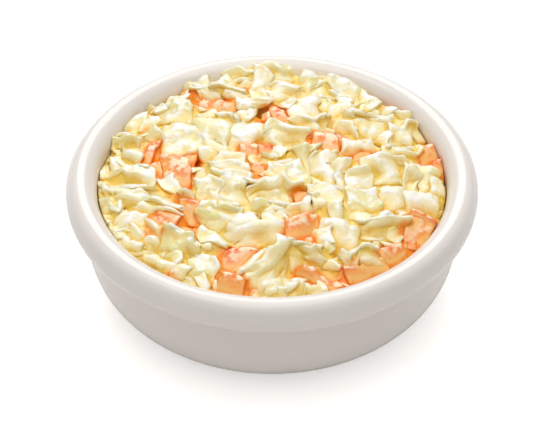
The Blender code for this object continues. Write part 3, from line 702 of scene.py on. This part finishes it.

# The carrot
# Short blocks and sticks cut from peeled carrot, their corners a little out of square.
# Dressing clings to their tops, painted paler where they face up and lie open to the light, and the bare sides stay a
# deep orange.
CARROT = {"relief": rib_relief, "fold": -0.04, "roundness": 24.0, "ragged": 0.05, "blunt": 0.7, "rounded": 0.6,
          "lumps": 0.05, "dressed": 1.0, "spacing": 1.2, "softness": 0.2, "carrot": True}
CARROT_FILLERS = 12
LEAF_CHIPS = 34
CARROT_CHIPS = 5
SHOWN_CARROT = [
    (2, 0.1, 0, (184, 97, -0.8), (200, 101, -0.8), (202, 95, -0.6), (181, 90, -0.6)),
    (2.4, 0, 0, (191, 109, -1.8), (202, 110, -1.8), (203, 97, -1.2), (196, 98, -1.2)),
    (3, 0.7, 0, (199, 110, -1.2), (238, 116, -1.2), (240, 99, 0.3), (202, 96, 0.3)),
    (2.4, 0.2, 0, (150, 128, -1.6), (157, 118, -1.6), (149, 114, -1), (140, 119, -1)),
    (2.4, 0.7, 0, (144, 138, -1.4), (158, 141, -1.4), (160, 128, -0.8), (147, 129, -0.8)),
    (2.6, 0.1, 0, (140, 162, -0.8), (149, 160, -0.8), (161, 137, 0), (153, 141, 0)),
    (2.4, 0, 0, (184, 169, -1.6), (192, 165, -1.6), (197, 152, -1), (181, 154, -1)),
    (2.4, 0.7, 0, (150, 178, -1.3), (162, 180, -1.3), (163, 158, -0.5), (151, 163, -0.5)),
    (3.2, 0.9, 0, (164, 187, -1), (189, 180, -1), (187, 157, 0.5), (164, 150, 0.5)),
    (2.4, 0, 0, (171, 191, -2), (187, 190, -2), (187, 183, -1.6), (174, 185, -1.6)),
    (2, 0.1, 0, (168, 201, -1.8), (176, 201, -1.8), (176, 194, -1.4), (171, 194, -1.4)),
    (2.2, 0.3, 0, (240, 97, -1.2), (249, 95, -1.2), (244, 87, -0.6), (235, 86, -0.6)),
    (2.6, 0.1, 0, (271, 119, -1.2), (292, 121, -1.2), (281, 107, -0.4), (274, 103, -0.4)),
    (2.4, 0.5, 0, (354, 105, -1.4), (372, 112, -1.4), (377, 106, -0.8), (356, 97, -0.8)),
    (2.4, 0.7, 0, (376, 111, -0.9), (395, 120, -0.9), (398, 107, 0), (379, 103, 0)),
    (2.4, 0.4, 0, (362, 144, -2.4), (385, 141, -2.4), (388, 134, -1.8), (352, 134, -1.8)),
    (2.2, 0.4, 0, (428, 141, -1.8), (438, 142, -1.8), (431, 128, -1.2), (417, 126, -1.2)),
    (3.4, 0.95, 0, (315, 152, -1.1), (335, 153, -1.1), (335, 130, 0.5), (317, 128, 0.5)),
    (2.8, 0.1, 0, (335, 153, -1.3), (347, 148, -1.3), (345, 134, -0.1), (336, 130, -0.1)),
    (2, 0.2, 0, (311, 140, -1.4), (317, 139, -1.4), (320, 131, -0.9), (307, 132, -0.9)),
    (2.4, 0.6, 0, (189, 219, -1), (198, 219, -1), (206, 205, -0.1), (180, 197, -0.1)),
    (2.4, 0.85, 0, (240, 157, -1.2), (258, 156, -1.2), (256, 143, -0.3), (242, 142, -0.3)),
    (2.4, 0.2, 0, (257, 152, -1.2), (277, 152, -1.2), (268, 142, -0.4), (255, 139, -0.4)),
    (2.4, 0.35, 0, (247, 176, -0.5), (266, 174, -0.5), (261, 160, 0.3), (255, 160, 0.3)),
    (2.4, 0.2, 0, (249, 205, -2.2), (258, 206, -2.2), (254, 189, -1.4), (243, 180, -1.4)),
    (2.4, 0.25, 0, (302, 211, -1.5), (313, 210, -1.5), (307, 191, -0.6), (297, 189, -0.6)),
    (4.2, 0.8, 0, (287, 240, -1.3), (319, 231, -1.3), (314, 211, 0.7), (287, 215, 0.7)),
    (2.4, 0.35, 0, (195, 244, -2.4), (206, 244, -2.4), (208, 231, -1.8), (196, 229, -1.8)),
    (2.8, 0.45, 0, (143, 240, -1), (161, 237, -1), (179, 213, 0.2), (160, 208, 0.2)),
    (2.6, 0.1, 0, (227, 271, -1.7), (240, 266, -1.7), (257, 246, -0.9), (228, 249, -0.9)),
    (2.2, 0.25, 0, (250, 296, -1.4), (277, 295, -1.4), (275, 287, -1), (253, 287, -1)),
    (3, 0.95, 0, (218, 290, -0.9), (245, 294, -0.9), (243, 275, 0.6), (223, 268, 0.6)),
    (2.6, 1, 0, (302, 271, -0.3), (330, 289, -0.3), (342, 283, 0.5), (309, 261, 0.6)),
    (3, 0.8, 0, (408, 252, -1.1), (425, 241, -0.9), (435, 221, 0.3), (407, 213, 0.3)),
    (2, 0.3, 0, (412, 215, -0.2), (433, 227, -0.2), (438, 220, 0.3), (414, 208, 0.4)),
    (2.8, 0.5, 0, (352, 281, -1), (386, 268, -1), (381, 256, 0.1), (344, 265, 0.1)),
    (2.8, 0.55, 0, (380, 269, -1), (407, 255, -1), (398, 240, 0.3), (377, 247, 0.3)),
    (2.4, 0.9, 0, (423, 161, -0.9), (435, 158, -0.9), (433, 142, 0.1), (420, 144, 0.1)),
    (2.4, 0.1, 0, (439, 172, -1), (447, 171, -1), (445, 152, -0.1), (433, 160, -0.1)),
    (2.2, 0.35, 0, (352, 164, -1.6), (359, 163, -1.6), (369, 150, -0.9), (355, 150, -0.9)),
]
lay_fillers(heap, carrots, CARROT, CARROT_FILLERS, [(5, 10), (3, 5), (1.8, 3.0)], 5.4, 0.14, rng)
for values in SHOWN_CARROT:
    lay_shown(heap, carrots, CARROT, values, rng)
lay_fillers(heap, leaves, LEAF, LEAF_CHIPS, [(4, 8), (3, 5.5), (1.0, 1.6)], 1.8, 0.2, rng)
lay_fillers(heap, carrots, CARROT, CARROT_CHIPS, [(2.5, 5), (1.5, 3), (1.2, 2.0)], 2.2, 0.3, rng)

# The dressing
# A thick creamy dressing that has run together with the cabbage's juice below the pieces, painted yellow to orange as
# shade where the pieces shut it in.
# It fills the gaps with soft hollows and follows the bowl's inside down to its floor.
GAP = 0.35
CREEP = 1.4
SUNK = 0.9
OPEN_DEPTH = 3.2


def blurred(values, times):
    """Values of a grid, smoothed again and again over neighbouring cells."""
    for _ in range(times):
        for axis in (0, 1):
            values = 0.25 * np.roll(values, 1, axis) + 0.5 * values + 0.25 * np.roll(values, -1, axis)
    return values


def rolled_over(values, ball, cells, sign):
    """The grid's surface offset by a round tip of a given size, upward or downward."""
    result = values.copy()
    for dx in range(-cells, cells + 1):
        for dy in range(-cells, cells + 1):
            drop = CELL * CELL * (dx * dx + dy * dy) / (2.0 * ball)
            moved = np.roll(np.roll(values, dx, 0), dy, 1) - sign * drop
            result = np.maximum(result, moved) if sign > 0 else np.minimum(result, moved)
    return result


def settle(heap):
    """Work out where the dressing stands, the heights that the painted crevice shade is measured against, and how near
    to carrot each place is.
    """
    filled = np.where(heap.inside, heap.top, heap.dome - 2.5)
    filled = rolled_over(rolled_over(filled, CREEP, 5, 1), CREEP, 5, -1)
    film = blurred(filled, 2)
    sunk = SUNK + 0.35 * np.sin(0.55 * heap.x + 0.3 * heap.y) * np.cos(0.48 * heap.y - 0.2 * heap.x)
    sunk = np.maximum(sunk, SUNK + OPEN_DEPTH * np.clip(1.6 - heap.from_gap, 0.0, 1.0) ** 1.5)
    heap.film = film - blurred(sunk, 2)
    reach = np.hypot(heap.x, heap.y)
    across = np.clip((RIM_CREST_R - reach) / (RIM_CREST_R - RIM_INNER_R), 0.0, 1.0)
    # Heights round each place, against which the painted crevice shade measures how shut in a point is.
    heap.around = np.where(heap.inside, heap.top, RIM_Z - 2.0 + RIM_HALF_HEIGHT * np.sqrt(1.0 - across ** 2))
    # How near to carrot each place is, which turns the painted crevice shade orange.
    heap.warmth = np.clip(3.0 * blurred(heap.carrot, 20), 0.0, 1.0)


settle(heap)


def crevice_shade_group():
    """Painted shade: a piece's own tint turned warm and deep where the heap shuts it in, orange near the carrot."""
    group = bpy.data.node_groups.new("painted_crevice_shade", "ShaderNodeTree")
    group.interface.new_socket("Tint", in_out="INPUT", socket_type="NodeSocketColor")
    group.interface.new_socket("Color", in_out="OUTPUT", socket_type="NodeSocketColor")
    enter = group.nodes.new("NodeGroupInput")
    leave = group.nodes.new("NodeGroupOutput")
    shut = add_node(group, "ShaderNodeAttribute", attribute_name="shut").outputs["Fac"]
    warm = add_node(group, "ShaderNodeAttribute", attribute_name="warm").outputs["Fac"]
    near_carrot = spread(group, warm, 0.15, 0.85)
    mild_shade = mix_colour(group, near_carrot, (0.96, 0.78, 0.37), (0.98, 0.60, 0.20))
    strong_shade = mix_colour(group, near_carrot, (0.91, 0.63, 0.11), (0.96, 0.29, 0.006))
    deepest_shade = mix_colour(group, near_carrot, (0.60, 0.34, 0.02), (0.66, 0.12, 0.002))
    # Painted shade: the more a point is shut in, the warmer and darker its colour.
    colour = mix_colour(group, spread(group, shut, 0.06, 0.36), enter.outputs["Tint"], mild_shade)
    colour = mix_colour(group, spread(group, shut, 0.27, 0.52), colour, strong_shade)
    colour = mix_colour(group, spread(group, shut, 0.75, 1.0), colour, deepest_shade)
    group.links.new(colour, leave.inputs["Color"])
    return group


CREVICE_SHADE = crevice_shade_group()


def with_crevice_shade(tree, tint):
    """A tint with painted crevice shade: yellow to orange and darker where the heap shuts it in."""
    node = tree.nodes.new("ShaderNodeGroup")
    node.node_tree = CREVICE_SHADE
    if isinstance(tint, tuple):
        node.inputs["Tint"].default_value = tint + (1.0,)
    else:
        tree.links.new(tint, node.inputs["Tint"])
    return node.outputs["Color"]


def soft_body(shader, weight, radius, scale, coat):
    """Settings of wet flesh: light goes in and comes out again, under a thin wet film."""
    shader.inputs["Subsurface Weight"].default_value = weight
    shader.inputs["Subsurface Radius"].default_value = radius
    shader.inputs["Subsurface Scale"].default_value = scale
    shader.inputs["Coat Weight"].default_value = coat
    shader.inputs["Coat Roughness"].default_value = 0.12
    shader.inputs["Specular IOR Level"].default_value = 0.35


def dressing_material():
    """Cream coloured, with painted shade turning it yellow and orange where the heap shuts it in."""
    material, tree, shader = new_material("dressing")
    place = add_node(tree, "ShaderNodeNewGeometry").outputs["Position"]
    cloud = add_node(tree, "ShaderNodeTexNoise", [("Vector", place)], Scale=300.0, Detail=4.0).outputs["Fac"]
    cream = mix_colour(tree, spread(tree, cloud, 0.35, 0.65), (0.98, 0.81, 0.41), (0.98, 0.88, 0.58))
    tree.links.new(with_crevice_shade(tree, cream), shader.inputs["Base Color"])
    shader.inputs["Roughness"].default_value = 0.32
    soft_body(shader, 0.25, (1.0, 0.95, 0.9), 0.0006, 0.1)
    bump = add_node(tree, "ShaderNodeBump", [("Height", cloud)], Strength=0.35, Distance=0.0004)
    tree.links.new(bump.outputs["Normal"], shader.inputs["Normal"])
    return material


def dressing_solid(heap):
    """A closed solid that follows the bowl's inside, with the dressing's surface on top."""
    wall = quarter_curve(BODY_R - WALL, BODY_BEND_Z, FLOOR_R, FLOOR_Z, 8)[::-1]
    profile = [(0.0, FLOOR_Z + GAP)] + [(r - GAP, z + GAP) for r, z in wall]
    steps = 84
    profile += [(HEAP_R * (1.0 - step / steps), None) for step in range(steps)] + [(0.0, 0.0)]
    verts, faces = turned([(r, 0.0 if z is None else z) for r, z in profile], 300)
    first = 1 + 300 * (len(wall))
    top = verts[first:]
    verts[first:, 2] = heap.film[heap.cells(top)]
    layers = [("shut", "FLOAT", heap.shut_in(verts)),
              ("warm", "FLOAT", heap.warmth[heap.cells(verts)])]
    return add_mesh("dressing", verts, [face[::-1] for face in faces], layers)


dressing = dressing_solid(heap)
dressing.data.materials.append(dressing_material())
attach(dressing, "root")
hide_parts("coleslaw")


def coat_and_top_light_group():
    """Where dressing clings to a piece, as a mask with soft uneven edges, widened as painted top light on surfaces
    facing up and kept off shut-in places as painted shade.
    """
    group = bpy.data.node_groups.new("dressing_coat_and_painted_top_light", "ShaderNodeTree")
    group.interface.new_socket("Cover", in_out="INPUT", socket_type="NodeSocketFloat")
    group.interface.new_socket("Pace", in_out="INPUT", socket_type="NodeSocketFloat")
    group.interface.new_socket("Mask", in_out="OUTPUT", socket_type="NodeSocketFloat")
    enter = group.nodes.new("NodeGroupInput")
    leave = group.nodes.new("NodeGroupOutput")
    place = add_node(group, "ShaderNodeNewGeometry")
    noise = add_node(group, "ShaderNodeTexNoise", [("Vector", place.outputs["Position"]),
                                                   ("Scale", enter.outputs["Pace"])], Detail=3.0)
    up = add_node(group, "ShaderNodeSeparateXYZ", [("Vector", place.outputs["Normal"])]).outputs["Z"]
    # Painted top light: surfaces facing up take a larger share of the pale coat.
    facing = spread(group, up, 0.55, 0.98, 0.0, 0.5)
    total = add_node(group, "ShaderNodeMath", [(0, noise.outputs["Fac"]), (1, facing)], operation="ADD").outputs[0]
    level = add_node(group, "ShaderNodeMath", [(0, total), (1, enter.outputs["Cover"])], operation="ADD")
    cling_and_top_light = spread(group, level.outputs[0], 0.82, 1.0)
    shut = add_node(group, "ShaderNodeAttribute", attribute_name="shut").outputs["Fac"]
    # Painted shade: the pale coat stays off places that the heap shuts in.
    open_to_light = spread(group, shut, 0.30, 0.06)
    mask = add_node(group, "ShaderNodeMath", [(0, cling_and_top_light), (1, open_to_light)], operation="MULTIPLY").outputs[0]
    group.links.new(mask, leave.inputs["Mask"])
    return group


COAT_AND_TOP_LIGHT = coat_and_top_light_group()


def coat_and_top_light_mask(tree, cover, pace):
    """Place the mask of dressing and painted top light in a material."""
    node = tree.nodes.new("ShaderNodeGroup")
    node.node_tree = COAT_AND_TOP_LIGHT
    node.inputs["Cover"].default_value = cover
    node.inputs["Pace"].default_value = pace
    return node.outputs["Mask"]


def flesh_material(name, first, second, coat, cut, streak, side, pace, scatter):
    """Wet flesh: tinted from piece to piece, with painted shade on its flanks and in its crevices, its cut edges in a
    tint of their own where they face up (on cabbage a whitened painted highlight), and dressing clinging to it, paler
    where it faces up as painted top light.
    """
    material, tree, shader = new_material(name)
    tone = add_node(tree, "ShaderNodeAttribute", attribute_name="tone").outputs["Fac"]
    edge = add_node(tree, "ShaderNodeAttribute", attribute_name="edge").outputs["Fac"]
    grain = add_node(tree, "ShaderNodeAttribute", attribute_name="grain").outputs["Vector"]
    veins = add_node(tree, "ShaderNodeTexNoise", [("Vector", grain)], Scale=0.25, Detail=3.0).outputs["Fac"]
    own = mix_colour(tree, spread(tree, tone, 0.0, 1.0), first, second)
    flesh = mix_colour(tree, spread(tree, veins, 0.42, 0.68, 0.0, streak[1]), own, streak[0])
    facing = add_node(tree, "ShaderNodeNewGeometry").outputs["Normal"]
    upward = add_node(tree, "ShaderNodeSeparateXYZ", [("Vector", facing)]).outputs["Z"]
    # Painted shade and through-light: surfaces turning sideways or down take the side tint, yellow on cabbage, deep
    # orange on carrot.
    flesh = mix_colour(tree, spread(tree, upward, 0.8, 0.2, 0.0, side[1]), flesh, side[0])
    # Painted highlight: cut edges take their tint only where they face up; on cabbage a whitened rim, on carrot almost
    # every edge takes its own deep orange.
    cut_tint, cut_share, cut_from = cut
    lit = spread(tree, upward, cut_from, cut_from + 0.4)
    band = spread(tree, edge, 0.3, 1.0, 0.0, cut_share)
    lit_cut_edge = add_node(tree, "ShaderNodeMath", [(0, band), (1, lit)], operation="MULTIPLY").outputs[0]
    edged = mix_colour(tree, lit_cut_edge, with_crevice_shade(tree, flesh), cut_tint)
    mask = coat_and_top_light_mask(tree, coat[1], coat[2])
    tree.links.new(mix_colour(tree, mask, edged, coat[0]), shader.inputs["Base Color"])
    tree.links.new(spread(tree, mask, 0.0, 1.0, 0.28, 0.40), shader.inputs["Roughness"])
    soft_body(shader, scatter[0], scatter[1], scatter[2], 0.4)
    fine = add_node(tree, "ShaderNodeTexNoise", [("Vector", grain)], Scale=pace, Detail=3.0).outputs["Fac"]
    thick = add_node(tree, "ShaderNodeMath", [(0, fine), (1, mask)], operation="ADD").outputs[0]
    bump = add_node(tree, "ShaderNodeBump", [("Height", thick)], Strength=0.45, Distance=0.0004)
    tree.links.new(bump.outputs["Normal"], shader.inputs["Normal"])
    return material


# Each look: flesh tints, dressing coat with painted top light, cut-edge tint with painted highlight, grain streaks,
# painted side shade, bump pace, scatter.
leaf_look = flesh_material("cabbage_leaf", (0.94, 0.86, 0.57), (0.83, 0.81, 0.34), ((0.96, 0.935, 0.87), -0.04, 380.0),
                           ((0.97, 0.94, 0.83), 0.7, 0.55), ((0.94, 0.86, 0.60), 0.5), ((0.96, 0.80, 0.32), 0.7),
                           0.9, (0.3, (1.0, 0.95, 0.9), 0.0007))
rib_look = flesh_material("cabbage_rib", (0.95, 0.87, 0.62), (0.90, 0.81, 0.38), ((0.96, 0.935, 0.87), -0.05, 320.0),
                          ((0.97, 0.94, 0.83), 0.4, 0.55), ((0.95, 0.87, 0.64), 0.5), ((0.96, 0.80, 0.34), 0.7),
                          0.7, (0.3, (1.0, 0.95, 0.9), 0.0007))
carrot_look = flesh_material("carrot_flesh", (0.87, 0.13, 0.002), (0.92, 0.22, 0.006), ((0.97, 0.78, 0.54), -0.06, 480.0),
                             ((0.84, 0.15, 0.002), 0.8, -1.2), ((0.95, 0.45, 0.10), 0.7), ((0.86, 0.17, 0.003), 0.7),
                             1.2, (0.3, (1.0, 0.85, 0.7), 0.0006))
for batch, name, look in ((leaves, "cabbage_leaves", leaf_look), (ribs, "cabbage_ribs", rib_look),
                          (carrots, "carrot_pieces", carrot_look)):
    piece = batch.build(name, heap)
    piece.data.materials.append(look)
    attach(piece, "root")
    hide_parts("coleslaw")

# The studio
# A seamless pale floor under a wide soft light from above and behind, with a little more from the left.
# The camera looks down at the bowl from the photographed side through a long lens.
SENSOR_MM = 36.0


def floor_material():
    """Smooth pale paper."""
    material, tree, shader = new_material("pale_paper")
    place = add_node(tree, "ShaderNodeNewGeometry").outputs["Position"]
    fibre = add_node(tree, "ShaderNodeTexNoise", [("Vector", place)], Scale=30.0, Detail=4.0).outputs["Fac"]
    paper = mix_colour(tree, fibre, (0.95, 0.935, 0.92), (0.96, 0.945, 0.93))
    tree.links.new(paper, shader.inputs["Base Color"])
    shader.inputs["Roughness"].default_value = 0.9
    shader.inputs["Specular IOR Level"].default_value = 0.1
    shader.inputs["Emission Color"].default_value = (1.0, 1.0, 1.0, 1.0)
    seen = add_node(tree, "ShaderNodeLightPath").outputs["Is Camera Ray"]
    tree.links.new(spread(tree, seen, 0.0, 1.0, 0.0, 0.5), shader.inputs["Emission Strength"])
    return material


def add_floor():
    """A level sheet, wide enough to fill the view."""
    half = 2500.0
    floor = add_mesh("floor", [(-half, -half, 0), (half, -half, 0), (half, half, 0), (-half, half, 0)], [(0, 1, 2, 3)])
    floor.data.materials.append(floor_material())


def add_light(name, place, target, size, power, colour):
    """A square soft light that faces a point."""
    light = bpy.data.lights.new(name, "AREA")
    light.shape = "SQUARE"
    light.size = size
    light.energy = power
    light.color = colour
    lamp = bpy.data.objects.new(name, light)
    lamp.location = place
    lamp.rotation_euler = (Vector(target) - Vector(place)).to_track_quat("-Z", "Y").to_euler()
    bpy.context.scene.collection.objects.link(lamp)


def add_camera():
    """Aim so that the rim's centre falls on its own pixel."""
    lens = bpy.data.cameras.new("camera")
    lens.sensor_width = SENSOR_MM
    lens.lens = SENSOR_MM * PIXELS_PER_MM * CAMERA_AWAY / FRAME_PIXELS[0]
    camera = bpy.data.objects.new("camera", lens)
    camera.location = camera_place * MM
    camera.rotation_euler = Vector(camera_aim - camera_place).to_track_quat("-Z", "Y").to_euler()
    bpy.context.scene.collection.objects.link(camera)
    bpy.context.scene.camera = camera


def add_world():
    """Light that fades from above and behind down to the horizon on the viewer's side."""
    world = bpy.data.worlds.new("studio")
    world.use_nodes = True
    tree = world.node_tree
    view = add_node(tree, "ShaderNodeTexCoord").outputs["Generated"]
    toward = add_node(tree, "ShaderNodeVectorMath", [(0, view)], operation="DOT_PRODUCT")
    toward.inputs[1].default_value = Vector((-0.22, 0.45, 0.86)).normalized()
    glow = spread(tree, toward.outputs["Value"], -0.6, 0.9, 0.16, 0.48)
    tree.links.new(glow, tree.nodes["Background"].inputs["Strength"])
    tree.nodes["Background"].inputs["Color"].default_value = (1.0, 0.985, 0.96, 1.0)
    bpy.context.scene.world = world


add_floor()
add_world()
add_light("overhead", (-0.04, 0.08, 1.0), (0.0, 0.0, 0.03), 0.8, 4.5, (1.0, 0.99, 0.97))
add_light("behind", (-0.05, 0.85, 0.70), (0.0, 0.0, 0.03), 0.6, 4.2, (1.0, 0.99, 0.97))
add_light("before", (0.10, -0.60, 0.95), (0.0, 0.0, 0.03), 0.8, 1.6, (1.0, 0.98, 0.95))
add_camera()
bpy.context.scene.view_settings.view_transform = "Standard"
